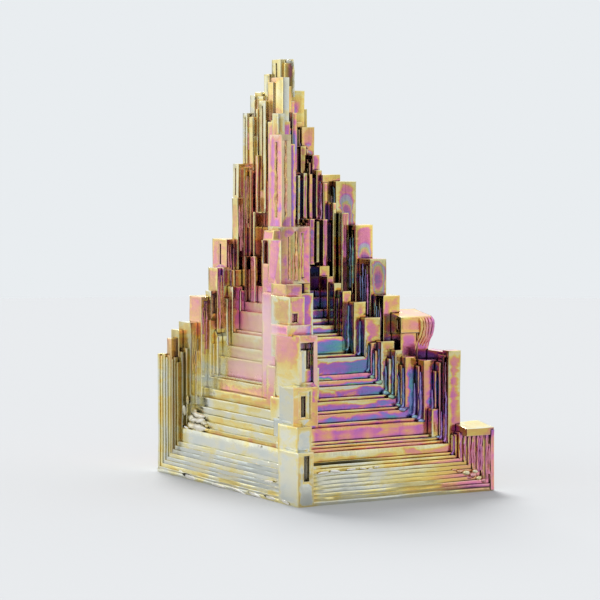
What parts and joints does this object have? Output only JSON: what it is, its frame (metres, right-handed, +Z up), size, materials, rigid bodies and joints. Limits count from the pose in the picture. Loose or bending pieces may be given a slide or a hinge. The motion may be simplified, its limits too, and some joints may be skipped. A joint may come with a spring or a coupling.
{
  "type": "bismuth hopper crystal",
  "caption": "Skeletal stepped pyramid of bismuth metal: nested terraces sink into each face between ragged corner towers; a display specimen that rests on its flat base.",
  "frame": {"origin": "centre of the flat foot, on the plane the crystal rests on", "axes": "+Z up the crystal to its summit; the broad front face with the deep stepped hollow looks along -Y, the longer left-hand face along -X"},
  "size_m": [0.0336, 0.0436, 0.0638],
  "materials": {
    "oxide_bismuth": "silvery bismuth under a thin clear oxide film: satin metal whose colour shifts from silver and pale yellow through gold, pink, magenta, purple and blue with the film's thickness"
  },
  "bodies": {
    "root": {"bismuth_crystal": "oxide_bismuth"}
  },
  "joints": []
}
